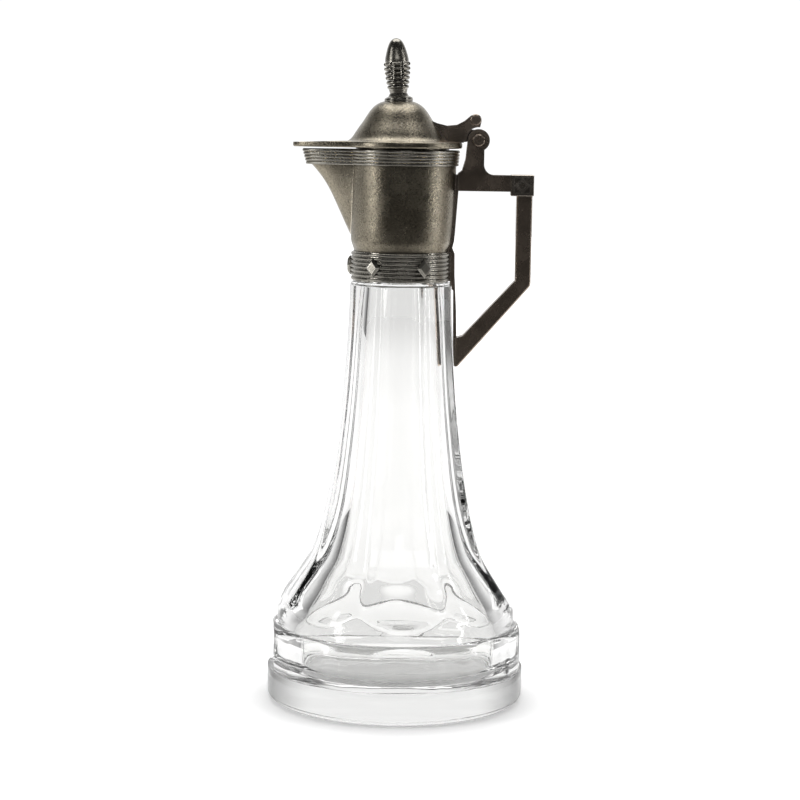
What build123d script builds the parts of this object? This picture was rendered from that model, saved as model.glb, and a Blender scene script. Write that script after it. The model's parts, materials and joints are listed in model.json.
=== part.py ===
from build123d import *
import os
from math import pi, sin

# Table cruet: a panelled glass bottle in a metal mount with a spout, a hinged lid and a handle.
# Millimetres. The origin is the centre of the foot's resting face and +Z is up.
# The spout points along -X and the handle stands on the +X side.

# ---- Driving dimensions ----
PANELS = 8
PANEL_STEP = 360 / PANELS
GLASS_TURN = 4.0

FOOT_R = 40.0
FOOT_BASE_ROUND = 2.6
DISC_TOP = 10.3
WALL_R = 39.5
WALL_ROUND = 2.4
FOOT_TOP = 24.0
# Distance from the axis to the flat thumb cuts round the foot's wall, one under each panel.
FOOT_CUT = 38.3
FLOOR_TOP = 10.0
SHOULDER_Z = 129.6
# Distance from the axis to the middle of a panel, and its height, from the shoulder to the foot.
PANEL_LINE = [(15.35, 129.6), (15.7, 118), (17.0, 98), (19.3, 77), (22.1, 60), (25.6, 46.5), (30.6, 38),
              (40.0, 24.0)]
BEAD_TOP = 131.0
NECK_R = 12.3
MOUTH_TOP = 156.0
BORE_R = 9.0
# Radius and height of the cavity's wall, from the neck down to the floor's rounded corner.
CAVITY = [(10.2, 118), (11.2, 98), (12.8, 77), (14.8, 60), (18.4, 46.5), (23.0, 38), (30.2, 26), (32.0, 18)]
FLOOR_CORNER = 5.0

BAND_R = 15.4
BAND_TOP = 139.8
BAND_REEDS = 7
COLLAR_WALL = 1.2
# Radius and height of the collar's outer wall, from the shoulder above the band to the rim.
COLLAR_FOOT_R = 14.5
COLLAR_LOW_R = 15.5
COLLAR_LOW_Z = 143.4
COLLAR_TOP_R = 16.7
COLLAR_TOP = 171.0

RIM_REED_LOW = 166.2
RIM_REEDS = 5
RIM_REED_R = 17.3
RIM_LIP_REACH = 29.6
RIM_LIP_FLARE = 1.1
RIM_LIP_HALF = 9.3

SPOUT_ROOT_X = -12.5
SPOUT_WALL = 1.1
SPOUT_FLOOR = 144.8
# Height, reach from the axis and half-width at the root of each of the spout's cross-sections.
SPOUT_SECTIONS = [(143.0, 14.6, 6.2), (148.5, 17.4, 7.0), (155.0, 20.4, 7.6), (161.0, 23.6, 8.0),
                  (165.0, 26.7, 8.3), (168.5, 29.6, 8.5), (171.0, 30.4, 8.6)]

STUD_STEP = 60
STUD_TURN = -2.8
STUD_Z = 135.4
STUD_HALF_WIDTH = 2.5
STUD_HALF_HEIGHT = 2.9
STUD_ROOT_R = 14.7
STUD_TOP_R = 16.5
STUD_BEVEL = 0.7

LID_GAP = 0.5
BRIM_THICK = 1.9
BRIM_R = 18.3
BRIM_REACH = 33.6
BRIM_TIP_THICK = 1.2
BRIM_LIP_HALF = 10.4
LIP_POINT_HALF = 1.8
EDGE_ROUND = 0.55
BEZEL_R = 14.3
BEZEL_DEPTH = 3.2
DOME_R = 15.9
DOME_WALL = 1.1
DOME_TOP_R = 4.4
DOME_TOP = 185.6
# The dome sits a little towards the spout and the finial on it leans the same way.
DOME_SHIFT = -1.4
FINIAL_LEAN = -3.5
FINIAL_TOP = 19.2
FINIAL_RIBS = 6
FINIAL_GROOVES = 8
SCREW_R = 1.0

HINGE_X = 23.2
HINGE_Z = 174.2
EAR_R = 3.4
PIN_R = 1.2
PIN_RUNNING_GAP = 0.05
HANDLE_WIDTH = 5.4
STRAP_WIDTH = 4.8
TAB_WIDTH = 5.0
THUMB_X = 22.2
THUMB_Z = 180.4
THUMB_R = 1.75
THUMB_WIDTH = 6.0
RIVET_HEAD_R = 1.9
RIVET_HEAD = 0.7
HANDLE_BEVEL = 0.35
BEND_ROUND = 2.2
POST_ROUND = 3.2
KNUCKLE_WIDTH = 2.2
KNUCKLE_SIDE_GAP = 0.08

GRIP_OUT = 40.0
GRIP_IN = 35.2
BAR_TOP = 163.7
BAR_LOW = 158.7
BLOCK_LOW = 157.4
BLOCK_IN = 33.3
BLOCK_STANDOUT = 0.15
TAIL_Z = 104.6
STRAP_THICK = 1.15


def profile(points):
    """A closed straight-sided outline in the XZ plane as a face."""
    return make_face(Plane.XZ * Polyline(*points, close=True))


def plate(face, width):
    """A plate of the given width, centred on Y = 0, from a face in the XZ plane."""
    return extrude(face, width / 2, both=True)


def turned(*edges):
    """A solid turned about the Z axis from edges drawn in the XZ plane."""
    return revolve(make_face(Plane.XZ * Curve(edges)), Axis.Z)


def ring(outer, inner, low, high):
    """A plain tube about the Z axis."""
    tube = Cylinder(outer, high - low) - Cylinder(inner, high - low)
    return Pos(0, 0, (low + high) / 2) * tube


def cone_tube(low_r, high_r, low, high):
    """A solid cone section about the Z axis."""
    return Pos(0, 0, (low + high) / 2) * Cone(low_r, high_r, high - low)


# ---- Glass ----
def panel_slab():
    """Everything on the axis side of one curved panel, which faces +X."""
    low_r, low_z = PANEL_LINE[-1]
    top_r, top_z = PANEL_LINE[0]
    face_line = Spline(*PANEL_LINE, tangents=[(0.02, -1), (1, -1.25)])
    slab_back = -60
    back = Polyline((low_r, low_z), (low_r, 0), (slab_back, 0), (slab_back, top_z), (top_r, top_z))
    face = make_face(Plane.XZ * Curve([face_line, back]))
    return extrude(face, 60, both=True)


def glass_foot():
    """A round disc with a slightly smaller wall on it, which has a flat cut under each panel."""
    disc = Pos(0, 0, DISC_TOP / 2) * Cylinder(FOOT_R, DISC_TOP)
    disc = fillet(disc.edges().filter_by(GeomType.CIRCLE).group_by(Axis.Z)[0], FOOT_BASE_ROUND)
    wall_height = FOOT_TOP - DISC_TOP
    wall = Pos(0, 0, DISC_TOP + wall_height / 2) * Cylinder(WALL_R, wall_height)
    wall = fillet(wall.edges().filter_by(GeomType.CIRCLE).group_by(Axis.Z)[-1], WALL_ROUND)
    cut = Pos(FOOT_CUT + 5, 0, FOOT_TOP) * Box(10, 60, 2 * wall_height)
    for index in range(PANELS):
        wall = wall - Rot(0, 0, GLASS_TURN + index * PANEL_STEP) * cut
    return disc + wall


def glass_outside():
    slab = panel_slab()
    body = Rot(0, 0, GLASS_TURN) * slab
    for index in range(1, PANELS):
        body = body & (Rot(0, 0, GLASS_TURN + index * PANEL_STEP) * slab)
    upper = Pos(0, 0, DISC_TOP + 100) * Cylinder(WALL_R - WALL_ROUND, 200)
    bead = ring(BAND_R, 5, SHOULDER_Z, BEAD_TOP)
    neck = ring(NECK_R, 5, SHOULDER_Z - 4, MOUTH_TOP)
    return glass_foot() + (body & upper) + bead + neck


def glass_cavity():
    low_r, low_z = CAVITY[-1]
    bore = Line((0, MOUTH_TOP), (BORE_R, MOUTH_TOP))
    bore_wall = Line((BORE_R, MOUTH_TOP), (BORE_R, BEAD_TOP))
    wall = Spline((BORE_R, BEAD_TOP), *CAVITY, tangents=[(0.02, -1), (0.0, -1)])
    drop = Line((low_r, low_z), (low_r, FLOOR_TOP + FLOOR_CORNER))
    corner = CenterArc((low_r - FLOOR_CORNER, FLOOR_TOP + FLOOR_CORNER), FLOOR_CORNER, -90, 90)
    floor = Line((low_r - FLOOR_CORNER, FLOOR_TOP), (0, FLOOR_TOP))
    axis_line = Line((0, FLOOR_TOP), (0, MOUTH_TOP))
    return turned(bore, bore_wall, wall, drop, corner, floor, axis_line)


def glass_body():
    body = glass_outside() - glass_cavity()
    mouth = body.edges().filter_by(GeomType.CIRCLE).group_by(Axis.Z)[-1]
    return fillet(mouth, 0.9)


def cement_ring():
    """Plaster between the glass neck and the metal, as high as the collar grips."""
    low_part = ring(BAND_R - COLLAR_WALL - 0.4, NECK_R, BEAD_TOP, BAND_TOP)
    high_part = ring(COLLAR_FOOT_R - COLLAR_WALL, NECK_R, BAND_TOP, BAND_TOP + 8)
    return low_part + high_part


# ---- Collar ----
def reeded_ring(outer, inner, low, high, reeds):
    """A ring whose outside is a stack of equal half-round reeds."""
    pitch = (high - low) / reeds
    body = ring(outer - pitch * 0.42, inner, low, high)
    for index in range(reeds):
        centre_z = low + (index + 0.5) * pitch
        reed = Pos(0, 0, centre_z) * Torus(outer - pitch / 2, pitch * 0.46)
        body = body + reed
    return body


def lower_reed_band():
    return reeded_ring(BAND_R + 0.1, BAND_R - COLLAR_WALL - 0.4, BEAD_TOP, BAND_TOP, BAND_REEDS)


def stud(angle):
    """One flat-topped diamond with wide bevels, standing on the band."""
    base = Plane(origin=(STUD_ROOT_R, 0, 0), x_dir=(0, 1, 0), z_dir=(1, 0, 0))
    points = [(STUD_HALF_WIDTH, 0), (0, STUD_HALF_HEIGHT), (-STUD_HALF_WIDTH, 0), (0, -STUD_HALF_HEIGHT)]
    diamond = make_face(base * Polyline(*points, close=True))
    block = extrude(diamond, STUD_TOP_R - STUD_ROOT_R)
    block = chamfer(block.faces().sort_by(Axis.X)[-1].edges(), STUD_BEVEL)
    return Rot(0, 0, angle) * (Pos(0, 0, STUD_Z) * block)


def diamond_studs(band):
    """Five studs, evenly stepped. The handle's strap takes the sixth place."""
    studs = []
    for angle in range(STUD_STEP, 360, STUD_STEP):
        studs.append(stud(angle + STUD_TURN) - band)
    return Compound(children=[solid for piece in studs for solid in piece.solids()])


def collar_outline(inset):
    """The collar's outer line, moved inwards by the inset, as a closed turned solid."""
    foot_r = COLLAR_FOOT_R - inset
    low_r = COLLAR_LOW_R - inset
    top_r = COLLAR_TOP_R - inset
    base = Line((0, BAND_TOP), (foot_r, BAND_TOP))
    shoulder = Spline((foot_r, BAND_TOP), (low_r, COLLAR_LOW_Z), tangents=[(0.15, 1), (0.12, 1)])
    wall = Spline((low_r, COLLAR_LOW_Z), (top_r, COLLAR_TOP), tangents=[(0.1, 1), (0.03, 1)])
    lid_line = Line((top_r, COLLAR_TOP), (0, COLLAR_TOP))
    axis_line = Line((0, COLLAR_TOP), (0, BAND_TOP))
    return turned(base, shoulder, wall, lid_line, axis_line)


def beak_section(z, reach, half_width):
    """A pointed lip cross-section at height z, from the root line to the rounded point."""
    pull = (8 * reach + 2 * SPOUT_ROOT_X) / 6
    tip_half = 1.3
    side = Bezier((SPOUT_ROOT_X, half_width), (-pull, tip_half), (-pull, -tip_half),
                  (SPOUT_ROOT_X, -half_width))
    root = Line((SPOUT_ROOT_X, -half_width), (SPOUT_ROOT_X, half_width))
    return Pos(0, 0, z) * make_face(Curve([side, root]))


def beak(inset):
    """The spout's solid form, with its wall taken off by the inset."""
    sections = []
    for z, reach, half_width in SPOUT_SECTIONS:
        sections.append(beak_section(z, reach - inset * 1.25, half_width - inset))
    return loft(sections)


def spout_channel():
    """The hollow in the spout, open at the top and into the collar."""
    channel = Pos(0, 0, 1.0) * beak(SPOUT_WALL)
    return channel & (Pos(-30, 0, SPOUT_FLOOR + 50) * Box(60, 60, 100))


def collar_body(channel):
    return collar_outline(0) - collar_outline(COLLAR_WALL) - channel


def spout(channel):
    lip = beak(0) - collar_outline(0) - channel
    return lip.solids().sort_by(SortBy.VOLUME)[-1]


def lip_outline(radius, reach, root_half, tip_half):
    """A round outline with a pointed lip towards -X, as a flat face."""
    pull = (8 * reach + 2 * SPOUT_ROOT_X) / 6
    side = Bezier((SPOUT_ROOT_X, root_half), (-pull, tip_half), (-pull, -tip_half),
                  (SPOUT_ROOT_X, -root_half))
    root = Line((SPOUT_ROOT_X, -root_half), (SPOUT_ROOT_X, root_half))
    return make_face(Curve([side, root])) + Circle(radius)


def upper_reed_band(channel):
    """Reeds round the collar's rim, carried out round the lip. Each reed is a rounded layer."""
    pitch = (COLLAR_TOP - RIM_REED_LOW) / RIM_REEDS
    body = Part()
    for index in range(RIM_REEDS):
        low = RIM_REED_LOW + index * pitch
        reach = RIM_LIP_REACH + RIM_LIP_FLARE * index / (RIM_REEDS - 1)
        layer = extrude(lip_outline(RIM_REED_R + 0.08 * index, reach, RIM_LIP_HALF, LIP_POINT_HALF), pitch)
        round_edges = layer.edges().filter_by(lambda edge: abs(edge.center().Z - pitch / 2) > pitch * 0.4)
        layer = fillet(round_edges, pitch * 0.4)
        body = body + Pos(0, 0, low) * layer
    return body - beak(0) - collar_outline(0) - channel


# ---- Handle ----
def handle_strap(solids_behind):
    """A thin strap up the neck and the collar that carries the handle's two ends."""
    inner = [(16.6, TAIL_Z), (16.25, 128), (14.0, BEAD_TOP), (14.0, BAR_TOP)]
    outer = [(17.4, BAR_TOP), (17.3, BAR_LOW), (16.3, 143.5), (15.75, 141.2), (16.5, 139.5),
             (16.6, 133), (17.25, 122), (16.6 + STRAP_THICK, TAIL_Z + 0.9)]
    outline = Polyline(*(inner + outer), close=True)
    strap = plate(make_face(Plane.XZ * outline), STRAP_WIDTH)
    for solid in solids_behind:
        strap = strap - solid
    return strap.solids().sort_by(SortBy.VOLUME)[-1]


def handle_outline():
    """The handle's side view: top bar, grip, sloping bar, and the post that carries the hinge."""
    outside = [(17.0, TAIL_Z), (18.0, TAIL_Z), (GRIP_OUT, 130.0), (GRIP_OUT, BLOCK_LOW),
               (BLOCK_IN, BLOCK_LOW), (BLOCK_IN, BAR_TOP), (25.0, BAR_TOP), (25.0, HINGE_Z),
               (19.9, HINGE_Z), (19.3, 168.5), (18.3, 165.0), (17.0, 164.0)]
    solid = profile(outside)
    opening = profile([(17.0, 113.4), (19.4, 114.2), (GRIP_IN, 131.4), (GRIP_IN, BAR_LOW), (17.0, BAR_LOW)])
    frame = plate(solid - opening, HANDLE_WIDTH)
    outer_bend = frame.edges().filter_by(Axis.Y).sort_by_distance((GRIP_OUT, 0, 130.0))[0]
    frame = fillet(outer_bend, BEND_ROUND)
    post_root = frame.edges().filter_by(Axis.Y).sort_by_distance((25.0, 0, BAR_TOP))[0]
    return fillet(post_root, POST_ROUND)


def handle_frame(strap, solids_behind):
    """The whole handle as cast, less the room for the corner block, the strap and the lid's knuckle."""
    eye = Pos(HINGE_X, 0, HINGE_Z) * Rot(90, 0, 0) * Cylinder(EAR_R, HANDLE_WIDTH)
    frame = handle_outline() + eye
    slot_width = KNUCKLE_WIDTH + 2 * KNUCKLE_SIDE_GAP
    slot = Pos(HINGE_X, 0, HINGE_Z + 2.0) * Box(14, slot_width, 13.0)
    pin_hole = Pos(HINGE_X, 0, HINGE_Z) * Rot(90, 0, 0) * Cylinder(PIN_R, HANDLE_WIDTH + 2)
    frame = frame - slot - pin_hole - corner_block_form() - strap
    for solid in solids_behind:
        frame = frame - solid
    return frame


def hinge_bracket(frame):
    """The top bar with the post and the two ears that carry the lid's pin."""
    return frame.solids().sort_by(Axis.Z)[-1]


def handle_grip(frame):
    """The upright grip and the sloping bar down to the strap's tail."""
    grip = frame.solids().sort_by(Axis.Z)[0]
    return grip.chamfer(HANDLE_BEVEL, None, grip.edges().filter_by(is_grip_edge))


def is_grip_edge(edge):
    """True for the long side edges of the grip and the sloping bar."""
    centre = edge.center()
    at_side = abs(abs(centre.Y) - HANDLE_WIDTH / 2) < 0.01
    return at_side and edge.length > 14 and centre.X > 22


def corner_block_form():
    width = HANDLE_WIDTH + 2 * BLOCK_STANDOUT
    centre_x = (BLOCK_IN + GRIP_OUT + 0.4) / 2
    centre_z = (BLOCK_LOW + BAR_TOP + 0.2) / 2
    return Pos(centre_x, 0, centre_z) * Box(GRIP_OUT + 0.4 - BLOCK_IN, width, BAR_TOP + 0.2 - BLOCK_LOW)


def corner_block():
    """A square block at the handle's upper corner, with a raised diamond frame in a sunk square."""
    block = chamfer(corner_block_form().edges(), 0.2)
    width = HANDLE_WIDTH + 2 * BLOCK_STANDOUT
    sink = 0.5
    centre = block.center()
    pocket = Box(5.0, 2 * sink, 4.8)
    for side in (-1, 1):
        block = block - Pos(centre.X, side * width / 2, centre.Z) * pocket
    frame_side = 3.1
    bar = 0.5
    inner_side = frame_side - 2 * bar
    diamond = Box(frame_side, width - 0.1, frame_side) - Box(inner_side, width + 1, inner_side)
    middle = Box(inner_side, width - 2 * sink, inner_side)
    return block + Pos(centre.X, 0, centre.Z) * (Rot(0, 45, 0) * (diamond + middle))


def hinge_pin():
    """The rivet through both ears, with a domed head on each side."""
    pin = Rot(90, 0, 0) * Cylinder(PIN_R, HANDLE_WIDTH)
    for side in (-1, 1):
        head_y = side * (HANDLE_WIDTH + RIVET_HEAD) / 2
        head = Pos(0, head_y, 0) * Rot(90, 0, 0) * Cylinder(RIVET_HEAD_R, RIVET_HEAD)
        rim = head.edges().filter_by(GeomType.CIRCLE).sort_by(Axis.Y)
        rim_edge = rim[-1] if side > 0 else rim[0]
        pin = pin + fillet(rim_edge, RIVET_HEAD - 0.25)
    return Pos(HINGE_X, 0, HINGE_Z) * pin


# ---- Lid ----
def lid_brim():
    """A flat plate over the rim, with a point over the spout."""
    low = COLLAR_TOP + LID_GAP
    plate_form = extrude(lip_outline(BRIM_R, BRIM_REACH, BRIM_LIP_HALF, LIP_POINT_HALF), BRIM_THICK)
    edges = plate_form.edges().filter_by(lambda edge: abs(edge.center().Z - BRIM_THICK / 2) > 0.6)
    plate_form = fillet(edges, EDGE_ROUND)
    plate_form = Pos(0, 0, low) * plate_form
    drop = BRIM_THICK - BRIM_TIP_THICK
    slope = profile([(-40, low + BRIM_THICK + 1), (-40, low + BRIM_THICK - drop),
                     (-BRIM_R, low + BRIM_THICK), (-BRIM_R, low + BRIM_THICK + 1)])
    plate_form = plate_form - plate(slope, 60)
    return plate_form - Pos(0, 0, low) * Cylinder(BEZEL_R - 1.2, 20)


def dome_solid(inset):
    low = COLLAR_TOP + LID_GAP + BRIM_THICK
    base_r = DOME_R - inset
    top = DOME_TOP - inset
    base = Line((0, low), (base_r, low))
    line = Spline((base_r, low), (13.2 - inset, 176.0), (10.6 - inset, 179.8), (8.2 - inset, 183.3),
                  (DOME_TOP_R, top), tangents=[(-1, 0.25), (-1, 0.22)])
    cap = Line((DOME_TOP_R, top), (0, top))
    axis_line = Line((0, top), (0, low))
    return Pos(DOME_SHIFT, 0, 0) * turned(base, line, cap, axis_line)


def lid_dome():
    hole = Pos(DOME_SHIFT, 0, DOME_TOP) * Cylinder(1.6, 8)
    return dome_solid(0) - dome_solid(DOME_WALL) - hole


def lid_bezel():
    """The ring under the lid that drops inside the collar."""
    top = COLLAR_TOP + LID_GAP
    return ring(BEZEL_R, BEZEL_R - 1.0, top - BEZEL_DEPTH, top)


def lid_tab():
    """The thumb lever: an arm from the dome, a thumb end over the hinge and the hinge's knuckle."""
    arm_face = profile([(9.0, 179.8), (10.5, 179.2), (13.5, 178.5), (16.5, 178.8), (18.8, 180.0), (20.8, 181.7),
                        (22.2, 182.1), (23.6, 181.4), (24.0, 180.1), (23.6, 178.3), (22.4, 173.0), (18.0, 173.4),
                        (9.0, 173.4)])
    arm = plate(arm_face, TAB_WIDTH)
    thumb = Pos(THUMB_X, 0, THUMB_Z) * Rot(90, 0, 0) * Cylinder(THUMB_R, THUMB_WIDTH)
    arm = arm + fillet(thumb.edges().filter_by(GeomType.CIRCLE), EDGE_ROUND)
    clearance = Pos(HINGE_X, 0, HINGE_Z) * Rot(90, 0, 0) * Cylinder(EAR_R + 0.55, 30)
    post_space = profile([(18.6, 174.2), (30, 174.2), (30, 160), (18.6, 160)])
    arm = arm - clearance - plate(post_space, 30)
    knuckle = Pos(HINGE_X, 0, HINGE_Z) * Rot(90, 0, 0) * Cylinder(EAR_R - 0.3, KNUCKLE_WIDTH)
    web_face = profile([(18.3, 173.5), (18.3, 177.6), (HINGE_X, HINGE_Z + EAR_R - 0.3), (HINGE_X, HINGE_Z)])
    tab = arm + knuckle + plate(web_face, KNUCKLE_WIDTH)
    hole = Pos(HINGE_X, 0, HINGE_Z) * Rot(90, 0, 0) * Cylinder(PIN_R + PIN_RUNNING_GAP, 30)
    return tab - hole - dome_solid(0)


def on_dome(shape):
    """Moves a piece made about the Z axis, with z = 0 at the dome's top, to its leaning place."""
    return Pos(DOME_SHIFT, 0, DOME_TOP) * Rot(0, FINIAL_LEAN, 0) * shape


def finial():
    """A turned and ribbed finial: foot flange, waist, ribbed barrel and pointed tip."""
    flange = turned(Polyline((0, -0.4), (4.2, -0.4), (4.4, 0.5), (4.2, 1.1), (3.1, 1.6),
                             (2.6, 2.6), (2.9, 3.9), (0, 3.9), close=True))
    barrel_low = 3.7
    barrel_high = 12.0
    pitch = (barrel_high - barrel_low) / FINIAL_RIBS
    barrel = cone_tube(2.5, 3.2, barrel_low, barrel_high)
    for index in range(FINIAL_RIBS):
        centre_z = barrel_low + (index + 0.5) * pitch
        swell = 3.2 + 0.9 * sin(pi / 2 * (index + 0.5) / FINIAL_RIBS)
        barrel = barrel + Pos(0, 0, centre_z) * Torus(swell - pitch * 0.45, pitch * 0.45)
    for index in range(FINIAL_GROOVES):
        groove = Pos(4.4, 0, (barrel_low + barrel_high) / 2) * Cylinder(0.8, barrel_high - barrel_low)
        barrel = barrel - Rot(0, 0, (index + 0.5) * 360 / FINIAL_GROOVES) * groove
    tip = pointed_tip(barrel_high, FINIAL_TOP, 3.6)
    tapped_hole = Pos(0, 0, 2) * Cylinder(SCREW_R, 8)
    return on_dome(flange + barrel + tip - tapped_hole) - dome_solid(0)


def pointed_tip(low, high, radius):
    """A bullet-shaped tip, cut with upright facets."""
    base = Line((0, low), (radius, low))
    side = Spline((radius, low), (radius * 0.9, low + 2.5), (radius * 0.6, high - 1.6), (0, high),
                  tangents=[(0.05, 1), (-1, 0.12)])
    axis_line = Line((0, high), (0, low))
    tip = turned(base, side, axis_line)
    for index in range(FINIAL_GROOVES):
        cut = Pos(radius + 0.3, 0, (low + high) / 2) * (Rot(0, -14, 0) * Cylinder(0.9, high - low))
        tip = tip - Rot(0, 0, (index + 0.5) * 360 / FINIAL_GROOVES) * cut
    return tip


def finial_screw():
    """The stud that holds the finial, tapped into it and through the dome."""
    return on_dome(Pos(0, 0, 0.6) * Cylinder(SCREW_R, 9.0))


def finial_nut():
    """A hexagonal nut under the dome with its washer."""
    washer_top = -DOME_WALL - 0.2
    washer = Pos(0, 0, washer_top - 0.3) * Cylinder(3.0, 0.6)
    nut = Pos(0, 0, washer_top - 2.4) * extrude(RegularPolygon(2.6, 6), 1.8)
    return on_dome(washer + nut - Cylinder(SCREW_R, 20))


def build():
    channel = spout_channel()
    collar = collar_body(channel)
    glass = glass_body()
    band = lower_reed_band()
    rim_band = upper_reed_band(channel)
    full_collar = collar_outline(0)
    strap = handle_strap([glass, full_collar, band, rim_band])
    frame = handle_frame(strap, [full_collar, rim_band])
    return {
        "glass_body": glass,
        "cement_ring": cement_ring(),
        "collar_body": collar,
        "lower_reed_band": band,
        "diamond_studs": diamond_studs(band),
        "spout": spout(channel),
        "upper_reed_band": rim_band,
        "handle_strap": strap,
        "hinge_bracket": hinge_bracket(frame),
        "handle_grip": handle_grip(frame),
        "corner_block": corner_block(),
        "hinge_pin": hinge_pin(),
        "lid_brim": lid_brim(),
        "lid_dome": lid_dome(),
        "lid_bezel": lid_bezel(),
        "lid_tab": lid_tab(),
        "finial": finial(),
        "finial_screw": finial_screw(),
        "finial_nut": finial_nut(),
    }


os.makedirs("parts", exist_ok=True)
for node, shape in build().items():
    export_step(shape, "parts/" + node + ".step")
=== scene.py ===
import json
import math

import bpy
from mathutils import Euler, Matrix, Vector


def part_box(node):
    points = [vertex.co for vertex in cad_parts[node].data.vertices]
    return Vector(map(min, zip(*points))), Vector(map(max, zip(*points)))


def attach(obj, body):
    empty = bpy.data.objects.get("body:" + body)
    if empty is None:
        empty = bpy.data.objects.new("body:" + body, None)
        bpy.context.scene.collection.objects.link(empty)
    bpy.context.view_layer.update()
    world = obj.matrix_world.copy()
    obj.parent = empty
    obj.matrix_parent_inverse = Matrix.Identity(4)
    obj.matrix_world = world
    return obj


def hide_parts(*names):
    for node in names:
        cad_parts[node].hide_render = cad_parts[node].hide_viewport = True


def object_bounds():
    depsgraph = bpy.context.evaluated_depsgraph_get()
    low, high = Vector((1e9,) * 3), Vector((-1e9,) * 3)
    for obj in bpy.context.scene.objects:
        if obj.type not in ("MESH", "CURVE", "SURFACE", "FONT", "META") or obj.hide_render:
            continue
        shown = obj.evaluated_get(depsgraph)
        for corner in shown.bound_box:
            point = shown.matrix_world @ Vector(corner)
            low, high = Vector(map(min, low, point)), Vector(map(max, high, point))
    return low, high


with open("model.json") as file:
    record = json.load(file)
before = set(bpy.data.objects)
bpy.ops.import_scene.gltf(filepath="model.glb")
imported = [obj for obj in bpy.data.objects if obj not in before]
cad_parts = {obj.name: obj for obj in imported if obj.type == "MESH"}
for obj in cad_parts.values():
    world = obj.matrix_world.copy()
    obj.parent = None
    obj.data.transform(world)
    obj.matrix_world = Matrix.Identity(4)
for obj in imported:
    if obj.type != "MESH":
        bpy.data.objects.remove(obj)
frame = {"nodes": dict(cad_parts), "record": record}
cad_low, cad_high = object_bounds()

MM = 0.001
SHARP_ANGLE = math.radians(35.0)
BOTTLE = "bottle"


# ---------------------------------------------------------------- shapes
def smooth_curve(points):
    """A smooth function through (key, value) points with rising keys and no overshoot."""
    keys = [p[0] for p in points]
    values = [p[1] for p in points]
    steps = [keys[i + 1] - keys[i] for i in range(len(keys) - 1)]
    rises = [(values[i + 1] - values[i]) / steps[i] for i in range(len(steps))]
    slopes = [rises[0]]
    for i in range(1, len(steps)):
        if rises[i - 1] * rises[i] <= 0:
            slopes.append(0.0)
        else:
            w1 = 2 * steps[i] + steps[i - 1]
            w2 = steps[i] + 2 * steps[i - 1]
            slopes.append((w1 + w2) / (w1 / rises[i - 1] + w2 / rises[i]))
    slopes.append(rises[-1])

    def value(key):
        key = min(max(key, keys[0]), keys[-1])
        i = 0
        while i < len(steps) - 1 and key > keys[i + 1]:
            i += 1
        t = (key - keys[i]) / steps[i]
        a = 2 * t ** 3 - 3 * t ** 2 + 1
        b = t ** 3 - 2 * t ** 2 + t
        c = -2 * t ** 3 + 3 * t ** 2
        d = t ** 3 - t ** 2
        return a * values[i] + b * steps[i] * slopes[i] + c * values[i + 1] + d * steps[i] * slopes[i + 1]

    return value


def arc(centre_r, centre_z, radius, start, end, count):
    """Points on an arc in the (radius, height) plane. Angles are in degrees."""
    points = []
    for i in range(count + 1):
        angle = math.radians(start + (end - start) * i / count)
        points.append((centre_r + radius * math.cos(angle), centre_z + radius * math.sin(angle)))
    return points


def mesh_object(name, vertices, faces, material):
    """A smooth-shaded mesh whose edges above SHARP_ANGLE stay sharp."""
    mesh = bpy.data.meshes.new(name)
    mesh.from_pydata(vertices, [], faces)
    mesh.polygons.foreach_set("use_smooth", [True] * len(mesh.polygons))
    mesh.set_sharp_from_angle(angle=SHARP_ANGLE)
    mesh.materials.append(material)
    mesh.update()
    piece = bpy.data.objects.new(name, mesh)
    bpy.context.scene.collection.objects.link(piece)
    return piece


def lathe(name, columns, material):
    """A closed solid from one (radius, height) line per angle. Every line starts and ends on the axis."""
    rows = len(columns[0][1])
    vertices = [(0.0, 0.0, columns[0][1][0][1] * MM)]
    for angle, line in columns:
        for radius, z in line[1:-1]:
            vertices.append((radius * MM * math.cos(angle), radius * MM * math.sin(angle), z * MM))
    vertices.append((0.0, 0.0, columns[0][1][-1][1] * MM))
    last = len(vertices) - 1
    per = rows - 2
    faces = []
    count = len(columns)
    for c in range(count):
        here = 1 + c * per
        there = 1 + ((c + 1) % count) * per
        faces.append((0, there, here))
        for r in range(per - 1):
            faces.append((here + r, there + r, there + r + 1, here + r + 1))
        faces.append((here + per - 1, there + per - 1, last))
    return mesh_object(name, vertices, faces, material)


# ---------------------------------------------------------------- glass shape, in millimetres
PANELS = 8
GLASS_TURN = math.radians(4.0)
glass_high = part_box("glass_body")[1]
FOOT_R = glass_high.x / MM
MOUTH_TOP = glass_high.z / MM
BASE_ROUND = 2.6
DISC_TOP = 10.3
DISC_ROUND = 0.25
WALL_R = 39.5
WALL_ROUND = 2.4
FOOT_CUT = 38.3
FOOT_TOP = 24.0
FLOOR_TOP = 10.0
FLOOR_CORNER = 5.0
SHOULDER_Z = 129.6
BEAD_TOP = 131.0
BEAD_R = 15.35
NECK_R = 12.25
BORE_R = 9.0
BEAD_ROUND = 0.5
LIP_ROUND = 0.9
LEDGE_MIN = 0.05
ARRIS_SHARPNESS = 60
PANEL_STEPS = 100
FACE_RADII = (0.0, 14.0, 26.0, 34.0)
DISC_HEIGHTS = (5.0, 7.5)
NECK_MIDDLE = 143.0
FLOOR_RADII = (18.0, 9.0, 0.0)
# (height, apothem of the panels) and (height, radius of the hollow)
panel_line = smooth_curve([(24.0, 40.0), (38.0, 30.6), (46.5, 25.6), (60, 22.1), (77, 19.3), (98, 17.0),
                           (118, 15.7), (129.6, 15.35)])
cavity = smooth_curve([(15.0, 32.0), (18.0, 32.0), (26.0, 30.2), (38.0, 23.0), (46.5, 18.4), (60.0, 14.8),
                       (77.0, 12.8), (98.0, 11.2), (118.0, 10.2), (131.0, 9.0)])


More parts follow.
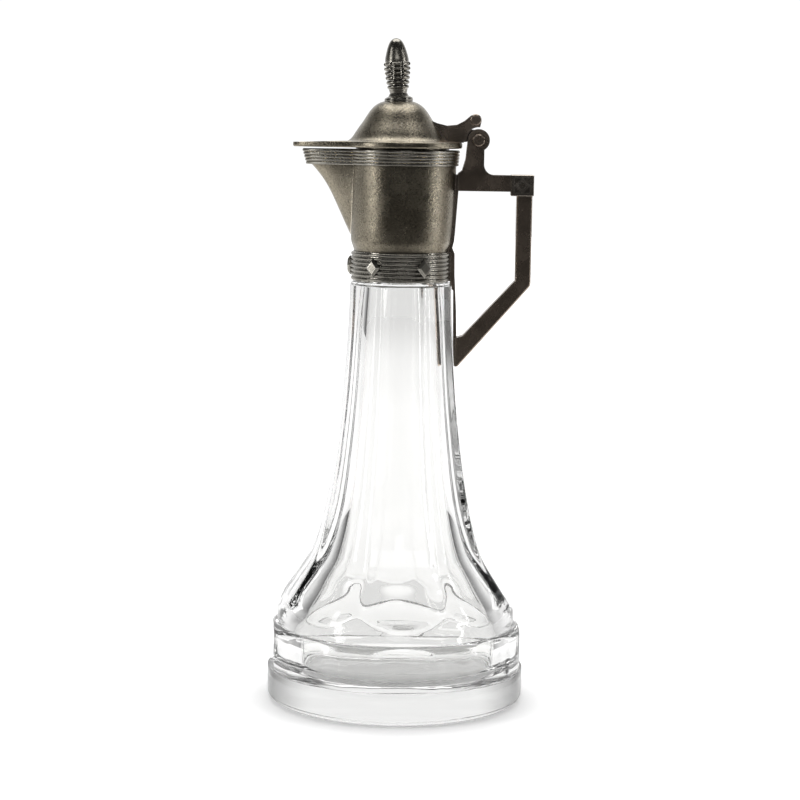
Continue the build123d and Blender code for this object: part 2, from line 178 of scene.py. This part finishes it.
def panel_radius(apothem, angle):
    """Distance from the axis to a panelled outline with slightly rounded arrises."""
    total = 0.0
    for k in range(PANELS):
        facing = math.cos(angle - GLASS_TURN - 2 * math.pi / PANELS * k)
        if facing > 0:
            total += (facing / apothem) ** ARRIS_SHARPNESS
    return total ** (-1 / ARRIS_SHARPNESS)


def foot_cut_radius(angle):
    """Distance from the axis to the nearest flat cut on the foot's wall."""
    step = 2 * math.pi / PANELS
    off = (angle - GLASS_TURN + step / 2) % step - step / 2
    return FOOT_CUT / math.cos(off)


def glass_line(angle):
    """The glass's outer and inner line at one angle, from the resting face up and back down inside."""
    line = [(radius, 0.0) for radius in FACE_RADII]
    line += arc(FOOT_R - BASE_ROUND, BASE_ROUND, BASE_ROUND, -90, 0, 8)
    line += [(FOOT_R, z) for z in DISC_HEIGHTS]
    line += arc(FOOT_R - DISC_ROUND, DISC_TOP - DISC_ROUND, DISC_ROUND, 0, 90, 3)
    cut = foot_cut_radius(angle)
    wall = [(WALL_R, DISC_TOP)]
    wall += [(WALL_R, DISC_TOP + (FOOT_TOP - WALL_ROUND - DISC_TOP) * i / 6) for i in range(1, 6)]
    wall += arc(WALL_R - WALL_ROUND, FOOT_TOP - WALL_ROUND, WALL_ROUND, 0, 90, 22)
    line += [(min(radius, cut), z) for radius, z in wall]
    ledge_out = WALL_R - WALL_ROUND
    panel_limit = ledge_out - LEDGE_MIN
    foot_of_panel = min(panel_radius(panel_line(FOOT_TOP), angle), panel_limit)
    for i in range(1, 3):
        line.append((ledge_out + (foot_of_panel - ledge_out) * i / 3, FOOT_TOP))
    for i in range(PANEL_STEPS + 1):
        z = FOOT_TOP + (SHOULDER_Z - FOOT_TOP) * i / PANEL_STEPS
        line.append((min(panel_radius(panel_line(z), angle), panel_limit), z))
    line += arc(BEAD_R - BEAD_ROUND, SHOULDER_Z + BEAD_ROUND, BEAD_ROUND, -60, 60, 4)
    line += [(NECK_R, BEAD_TOP), (NECK_R, NECK_MIDDLE), (NECK_R, MOUTH_TOP - LIP_ROUND)]
    line += arc(NECK_R - LIP_ROUND, MOUTH_TOP - LIP_ROUND, LIP_ROUND, 0, 90, 4)[1:]
    line += arc(BORE_R + LIP_ROUND, MOUTH_TOP - LIP_ROUND, LIP_ROUND, 90, 180, 4)
    line += [(BORE_R, NECK_MIDDLE)]
    low = FLOOR_TOP + FLOOR_CORNER
    for i in range(PANEL_STEPS + 1):
        z = BEAD_TOP + (low - BEAD_TOP) * i / PANEL_STEPS
        line.append((cavity(z), z))
    line += arc(cavity(low) - FLOOR_CORNER, low, FLOOR_CORNER, 0, -90, 10)[1:]
    line += [(radius, FLOOR_TOP) for radius in FLOOR_RADII]
    return line


def glass_angles():
    """Angles round the bottle, closer together at the arrises."""
    per_half = 14
    crowding = 1.5
    half = math.pi / PANELS
    angles = []
    for k in range(PANELS):
        start = GLASS_TURN + half * (2 * k + 1)
        for i in range(per_half):
            angles.append(start + half * (i / per_half) ** crowding)
        for i in range(per_half):
            angles.append(start + 2 * half - half * ((per_half - i) / per_half) ** crowding)
    return angles


# ---------------------------------------------------------------- materials
class Shader:
    """A small helper that builds one node material. Lengths are in metres and colours are linear."""

    # the Mix node's colour inputs and colour result, which share their names with other sockets
    MIX_FIRST, MIX_SECOND, MIX_RESULT = 6, 7, 2

    def __init__(self, name):
        self.material = bpy.data.materials.new(name)
        self.material.use_nodes = True
        self.tree = self.material.node_tree
        self.bsdf = self.tree.nodes["Principled BSDF"]

    def add(self, kind, settings=None, **inputs):
        node = self.tree.nodes.new(kind)
        for key, value in (settings or {}).items():
            setattr(node, key, value)
        for key, value in inputs.items():
            self.set(node, key.replace("_", " "), value)
        return node

    def set(self, node, key, value):
        socket = node.inputs[key]
        if isinstance(value, bpy.types.NodeSocket):
            self.tree.links.new(value, socket)
        else:
            socket.default_value = value

    def place(self):
        return self.add("ShaderNodeTexCoord").outputs["Object"]

    def noise(self, scale, detail=4.0, roughness=0.55, stretch=None):
        """Noise in the object's own space: a scale of 1000 gives specks about a millimetre wide."""
        place = self.place()
        if stretch:
            mapping = self.add("ShaderNodeMapping")
            mapping.inputs["Scale"].default_value = stretch
            self.tree.links.new(place, mapping.inputs["Vector"])
            place = mapping.outputs["Vector"]
        node = self.add("ShaderNodeTexNoise", Vector=place, Scale=scale, Detail=detail, Roughness=roughness)
        return node.outputs["Fac"]

    def ramp(self, value, low, high, start=0.0, end=1.0):
        """Maps value from the range low..high to start..end, and clamps it."""
        node = self.add("ShaderNodeMapRange")
        node.inputs["From Min"].default_value = low
        node.inputs["From Max"].default_value = high
        node.inputs["To Min"].default_value = start
        node.inputs["To Max"].default_value = end
        self.tree.links.new(value, node.inputs["Value"])
        return node.outputs["Result"]

    def mix(self, factor, first, second):
        node = self.add("ShaderNodeMix", {"data_type": "RGBA"})
        for index, value in ((0, factor), (self.MIX_FIRST, first), (self.MIX_SECOND, second)):
            if isinstance(value, bpy.types.NodeSocket):
                self.tree.links.new(value, node.inputs[index])
            elif index:
                node.inputs[index].default_value = (*value, 1.0)
            else:
                node.inputs[index].default_value = value
        return node.outputs[self.MIX_RESULT]

    def maths(self, operation, first, second=0.0):
        node = self.add("ShaderNodeMath", {"operation": operation})
        for index, value in ((0, first), (1, second)):
            if isinstance(value, bpy.types.NodeSocket):
                self.tree.links.new(value, node.inputs[index])
            else:
                node.inputs[index].default_value = value
        return node.outputs[0]

    def bump(self, height, distance, strength=1.0, under=None):
        node = self.add("ShaderNodeBump", Height=height, Distance=distance, Strength=strength)
        if under:
            self.tree.links.new(under, node.inputs["Normal"])
        return node.outputs["Normal"]

    def edge(self, radius):
        """1 on outside edges and 0 on flat faces."""
        bevel = self.add("ShaderNodeBevel", {"samples": 6}, Radius=radius)
        geometry = self.add("ShaderNodeNewGeometry")
        dot = self.add("ShaderNodeVectorMath", {"operation": "DOT_PRODUCT"})
        self.tree.links.new(bevel.outputs["Normal"], dot.inputs[0])
        self.tree.links.new(geometry.outputs["Normal"], dot.inputs[1])
        return self.ramp(dot.outputs["Value"], 0.995, 0.86)

    def groove(self, distance):
        """Painted shade from ambient occlusion: 1 in deep grooves and 0 on open faces."""
        occlusion = self.add("ShaderNodeAmbientOcclusion", {"samples": 8}, Distance=distance)
        return self.ramp(occlusion.outputs["AO"], 0.92, 0.35)


# clean, tarnish, dark: colours, and dark also colours the painted shade in the grooves. rough: roughness.
# pits: strength of the grain. groove and edge: reach of the painted shade in the grooves and of the rubbed
# edges, in metres. worn: strength of the rubbed edges.
METALS = {
    "plated_wall": {
        "clean": (0.33, 0.295, 0.23), "tarnish": (0.19, 0.167, 0.124), "dark": (0.016, 0.014, 0.010),
        "rough": 0.25, "pits": 1.0, "groove": 0.0016, "edge": 0.0003, "worn": 0.85},
    "plated_relief": {
        "clean": (0.40, 0.38, 0.335), "tarnish": (0.19, 0.18, 0.155), "dark": (0.003, 0.003, 0.002),
        "rough": 0.25, "pits": 0.5, "groove": 0.0018, "edge": 0.00035, "worn": 1.0},
    "handle_metal": {
        "clean": (0.36, 0.295, 0.24), "tarnish": (0.26, 0.21, 0.168), "dark": (0.018, 0.015, 0.013),
        "rough": 0.24, "pits": 0.3, "groove": 0.0014, "edge": 0.0008, "worn": 1.0},
    "block_relief": {
        "clean": (0.30, 0.265, 0.225), "tarnish": (0.19, 0.165, 0.14), "dark": (0.008, 0.007, 0.006),
        "rough": 0.25, "pits": 0.3, "groove": 0.0012, "edge": 0.0008, "worn": 1.0},
    "fastener_brass": {
        "clean": (0.5, 0.37, 0.18), "tarnish": (0.3, 0.21, 0.11), "dark": (0.05, 0.035, 0.02),
        "rough": 0.35, "pits": 0.4, "groove": 0.001, "edge": 0.0003, "worn": 0.6},
}


def brighter(colour, factor, lift=0.0):
    """The colour scaled and lifted, with no channel above 1."""
    return tuple(min(1.0, factor * channel + lift) for channel in colour)


def aged_metal(name, look):
    """Worn plate: soft tarnish, a sandy grain, painted shade in the grooves and bright edges."""
    s = Shader(name)
    clean, dark, pits, rough = look["clean"], look["dark"], look["pits"], look["rough"]
    # tarnish in broad patches, broken up by a fine mottle
    broad = s.ramp(s.noise(42.0, 4.0, 0.55), 0.34, 0.68)
    fine = s.ramp(s.noise(900.0, 5.0, 0.75), 0.32, 0.68)
    mottle = s.maths("MULTIPLY", broad, s.maths("ADD", s.maths("MULTIPLY", fine, 0.45), 0.6))
    colour = s.mix(mottle, clean, look["tarnish"])
    # dark pits and bright specks
    grain = s.noise(1800.0, 5.0, 0.8)
    pitted = s.maths("MULTIPLY", s.ramp(grain, 0.50, 0.66), pits * 0.8)
    colour = s.mix(pitted, colour, dark)
    sparkle = s.ramp(s.noise(2700.0, 4.0, 0.75), 0.56, 0.70)
    colour = s.mix(s.maths("MULTIPLY", sparkle, pits * 0.5), colour, brighter(clean, 2.4))
    # painted shade in the grooves, from ambient occlusion, and rubbed edges
    painted_groove_shade = s.groove(look["groove"])
    colour = s.mix(s.maths("MULTIPLY", painted_groove_shade, 0.92), colour, dark)
    edge = s.edge(look["edge"])
    colour = s.mix(s.maths("MULTIPLY", edge, look["worn"]), colour, brighter(clean, 2.0, 0.16))
    s.set(s.bsdf, "Base Color", colour)
    s.set(s.bsdf, "Metallic", 1.0)
    # uneven polish, smoother where it is rubbed, over a slight wave
    roughness = s.ramp(s.noise(160.0, 4.0), 0.3, 0.7, rough - 0.07, rough + 0.10)
    roughness = s.maths("SUBTRACT", roughness, s.maths("MULTIPLY", edge, 0.10))
    s.set(s.bsdf, "Roughness", roughness)
    wave = s.bump(s.noise(90.0, 2.0), 0.00022, 0.3)
    s.set(s.bsdf, "Normal", s.bump(grain, 0.00006, pits, wave))
    return s.material


def clear_glass():
    """Clear, almost colourless glass with a slightly uneven surface."""
    s = Shader("clear_glass")
    s.set(s.bsdf, "Base Color", (0.972, 0.972, 0.965, 1.0))
    s.set(s.bsdf, "Transmission Weight", 1.0)
    s.set(s.bsdf, "IOR", 1.51)
    s.set(s.bsdf, "Roughness", s.ramp(s.noise(300.0, 3.0), 0.45, 0.75, 0.0, 0.03))
    wave = s.bump(s.noise(60.0, 2.0, stretch=(1, 1, 0.35)), 0.0004, 0.12)
    s.set(s.bsdf, "Normal", wave)
    return s.material


def plaster():
    """Matt, off-white and grainy."""
    s = Shader("plaster")
    grain = s.noise(900.0, 5.0, 0.7)
    s.set(s.bsdf, "Base Color", s.mix(s.ramp(grain, 0.3, 0.7), (0.75, 0.72, 0.65), (0.58, 0.54, 0.46)))
    s.set(s.bsdf, "Roughness", s.ramp(grain, 0.3, 0.7, 0.8, 0.95))
    s.set(s.bsdf, "Normal", s.bump(grain, 0.0002, 0.6))
    return s.material


MATERIALS = {"clear_glass": clear_glass(), "plaster": plaster()}
for metal_name, metal_look in METALS.items():
    MATERIALS[metal_name] = aged_metal(metal_name, metal_look)


def paint_cad_nodes():
    """Every CAD piece gets its slot's material. The corner block has a darker one of its own."""
    for part in frame["record"]["subparts"]:
        node = frame["nodes"][part["node"]]
        own = "block_relief" if part["node"] == "corner_block" else part["material_slot"]
        node.data.materials.clear()
        node.data.materials.append(MATERIALS[own])


def build_glass():
    """The panelled bottle, which takes the place of the CAD's plainer glass body."""
    columns = [(angle, glass_line(angle)) for angle in glass_angles()]
    glass = lathe("panelled_bottle", columns, MATERIALS["clear_glass"])
    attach(glass, BOTTLE)
    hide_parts("glass_body")


# ---------------------------------------------------------------- stage
# in metres. The dim range is along Y, and the last two are ranges of distance from the axis.
FLOOR_HALF = 3.0
FLOOR_DROP = 0.0002
# the floor's front is painted dark across this range for every ray but the camera's: painted shade seen in
# the glass
DIM_FROM, DIM_TO = -0.05, -0.20
# painted contact shadow: the floor's glow stays low under the foot and rises clear of it
FOOT_SHADE = (0.037, 0.058)
# the floor's painted glow rises again over this range until the floor reads white
FAR_FADE = (0.09, 0.6)


def build_floor():
    """A pale floor that whitens with distance through a painted glow, with a painted shadow under the foot.
    Only the camera's own rays see its front part as pale, and other rays see it painted dark.
    """
    s = Shader("pale_floor")
    place = s.place()
    axes = s.add("ShaderNodeSeparateXYZ", Vector=place)
    # painted shade: rays other than the camera's see the front of the floor dark, and with little glow
    in_front = s.ramp(axes.outputs["Y"], DIM_FROM, DIM_TO)
    seen = s.add("ShaderNodeLightPath").outputs["Is Camera Ray"]
    dim = s.maths("MULTIPLY", in_front, s.maths("SUBTRACT", 1.0, seen))
    s.set(s.bsdf, "Base Color", s.mix(dim, (0.9, 0.9, 0.9), (0.10, 0.095, 0.09)))
    s.set(s.bsdf, "Roughness", s.ramp(s.noise(30.0), 0.3, 0.7, 0.85, 0.95))
    s.set(s.bsdf, "Specular IOR Level", 0.0)
    # the floor glows: painted light that stands in for the studio light on it
    s.set(s.bsdf, "Emission Color", (1.0, 1.0, 1.0, 1.0))
    reach = s.add("ShaderNodeVectorMath", {"operation": "LENGTH"})
    s.tree.links.new(place, reach.inputs[0])
    # painted shadow under the foot: less glow near the axis
    painted_foot_shadow = s.ramp(reach.outputs["Value"], *FOOT_SHADE, 0.26, 0.66)
    painted_floor_glow = s.maths("ADD", painted_foot_shadow, s.ramp(reach.outputs["Value"], *FAR_FADE, 0.0, 0.6))
    painted_floor_glow = s.maths("MULTIPLY", painted_floor_glow, s.ramp(seen, 0.0, 1.0, 0.56, 1.0))
    s.set(s.bsdf, "Emission Strength", s.maths("MULTIPLY", painted_floor_glow, s.ramp(dim, 0.0, 1.0, 1.0, 0.1)))
    corners = [(FLOOR_HALF * x, FLOOR_HALF * y, 0) for x, y in ((-1, -1), (1, -1), (1, 1), (-1, 1))]
    floor = mesh_object("floor", corners, [(0, 1, 2, 3)], s.material)
    floor.location.z = -FLOOR_DROP


# (position from the camera's side to behind the object, brightness of the room)
ROOM_STOPS = ((0.0, 0.03), (0.46, 0.04), (0.66, 0.10), (0.80, 0.45), (0.92, 0.90))
BACKDROP = 1.05


def build_world():
    """The camera sees plain white. All other rays see a room, bright behind the object and dark in front."""
    world = bpy.data.worlds.new("studio")
    bpy.context.scene.world = world
    world.use_nodes = True
    tree = world.node_tree
    tree.nodes.clear()

    def node(kind, **settings):
        made = tree.nodes.new(kind)
        for key, value in settings.items():
            setattr(made, key, value)
        return made

    place = node("ShaderNodeTexCoord")
    split = node("ShaderNodeSeparateXYZ")
    tree.links.new(place.outputs["Generated"], split.inputs[0])
    ramp = node("ShaderNodeValToRGB")
    lift = node("ShaderNodeMapRange")
    lift.inputs["From Min"].default_value = -1.0
    lift.inputs["From Max"].default_value = 1.0
    tree.links.new(split.outputs["Y"], lift.inputs["Value"])
    tree.links.new(lift.outputs["Result"], ramp.inputs["Fac"])
    elements = ramp.color_ramp.elements
    elements[0].position = ROOM_STOPS[0][0]
    elements[1].position = ROOM_STOPS[-1][0]
    for position, level in ROOM_STOPS[1:-1]:
        elements.new(position)
    for element, (position, level) in zip(elements, ROOM_STOPS):
        element.color = (level, level, level, 1.0)
    room = node("ShaderNodeBackground")
    tree.links.new(ramp.outputs["Color"], room.inputs["Color"])
    white = node("ShaderNodeBackground")
    white.inputs["Color"].default_value = (1.0, 1.0, 1.0, 1.0)
    white.inputs["Strength"].default_value = BACKDROP
    ray = node("ShaderNodeLightPath")
    blend = node("ShaderNodeMixShader")
    tree.links.new(ray.outputs["Is Camera Ray"], blend.inputs[0])
    tree.links.new(room.outputs[0], blend.inputs[1])
    tree.links.new(white.outputs[0], blend.inputs[2])
    out = node("ShaderNodeOutputWorld")
    tree.links.new(blend.outputs[0], out.inputs["Surface"])


# name, place, width and height, watts
LIGHTS = (
    ("overhead", (0.0, 0.15, 0.9), (0.9, 0.7), 5.0),
    ("left_window", (-0.66, -0.30, 0.26), (0.14, 0.6), 1.3),
    ("right_window", (0.68, -0.14, 0.26), (0.06, 0.6), 0.8),
    ("camera_fill", (0.05, -1.1, 0.62), (0.6, 0.3), 1.0),
)


def area_light(name, place, target, size, power):
    """A rectangular light that faces the target and is hidden from the camera."""
    data = bpy.data.lights.new(name, "AREA")
    data.shape = "RECTANGLE"
    data.size, data.size_y = size
    data.energy = power
    light = bpy.data.objects.new(name, data)
    light.location = place
    light.rotation_euler = (Vector(target) - Vector(place)).to_track_quat("-Z", "Y").to_euler()
    light.visible_camera = False
    bpy.context.scene.collection.objects.link(light)


def build_lights():
    """Soft light from above, two tall narrow windows that streak the metal, and a weak fill."""
    centre = (cad_low + cad_high) / 2
    for name, place, size, watts in LIGHTS:
        area_light(name, place, centre, size, watts)


def build_camera():
    """The viewpoint: level with the lid, looking slightly down, with a long lens."""
    data = bpy.data.cameras.new("camera")
    data.sensor_width = 36.0
    data.lens = 101.25
    camera = bpy.data.objects.new("camera", data)
    distance = 0.694
    height = 0.1785
    side = 0.0004
    pitch = math.radians(90.0 - 6.97)
    roll = math.radians(0.9)
    camera.location = (side, -distance, height)
    aim = Euler((pitch, 0.0, 0.0)).to_matrix() @ Euler((0.0, 0.0, roll)).to_matrix()
    camera.rotation_euler = aim.to_euler()
    data.clip_start = 0.01
    data.clip_end = 20.0
    bpy.context.scene.collection.objects.link(camera)
    bpy.context.scene.camera = camera


def set_look():
    """Plain colours, and enough bounces for light to get through both walls of the glass."""
    scene = bpy.context.scene
    scene.view_settings.view_transform = "Standard"
    scene.cycles.max_bounces = 24
    scene.cycles.transmission_bounces = 20
    scene.cycles.glossy_bounces = 8
    scene.cycles.caustics_refractive = True


paint_cad_nodes()
build_glass()
build_floor()
build_world()
build_lights()
build_camera()
set_look()
